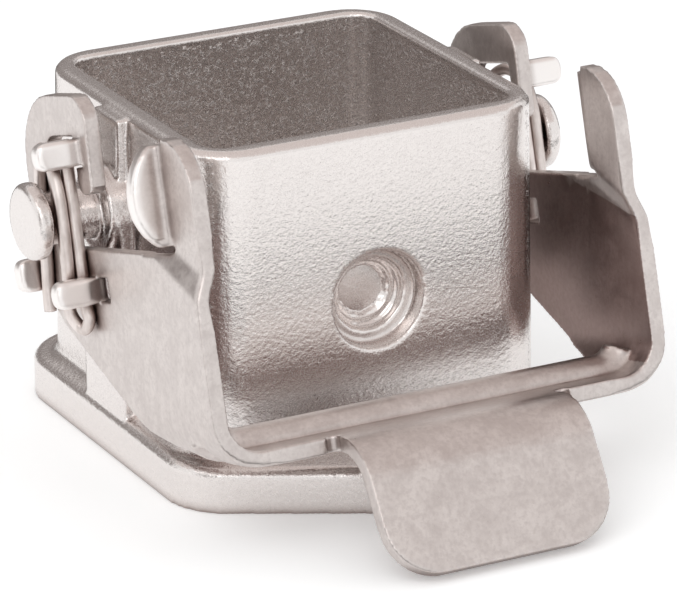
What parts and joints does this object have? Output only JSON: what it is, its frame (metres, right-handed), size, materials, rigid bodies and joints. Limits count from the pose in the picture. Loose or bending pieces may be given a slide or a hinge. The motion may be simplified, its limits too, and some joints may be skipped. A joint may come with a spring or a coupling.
{
  "type": "rectangular connector base housing",
  "caption": "Square surface-mounting base for a heavy duty connector, cast metal with a flanged foot and a sheet-metal locking lever held by wire springs.",
  "frame": {"origin": "on the mounting face, midway between the two fixing holes", "axes": "+Z out of the panel along the mating direction, -Y towards the lever's thumb tab, X along the lever's pivot axis"},
  "size_m": [0.0382, 0.0486, 0.0255],
  "materials": {
    "cast_nickel": "die-cast zinc, nickel plated, fine orange-peel surface",
    "lever_sheet": "pressed steel sheet, nickel plated, satin with bright sheared edges",
    "spring_wire": "drawn spring wire"
  },
  "bodies": {
    "base": {"housing": "cast_nickel"},
    "lever": {"locking_lever": "lever_sheet", "spring_left": "spring_wire", "spring_right": "spring_wire"}
  },
  "joints": [
    {"name": "lever_pivot", "type": "hinge", "parent": "base", "child": "lever", "pos_m": [0, 0, 0.0166], "axis": [-1, 0, 0], "range_deg": [0, 55]}
  ]
}
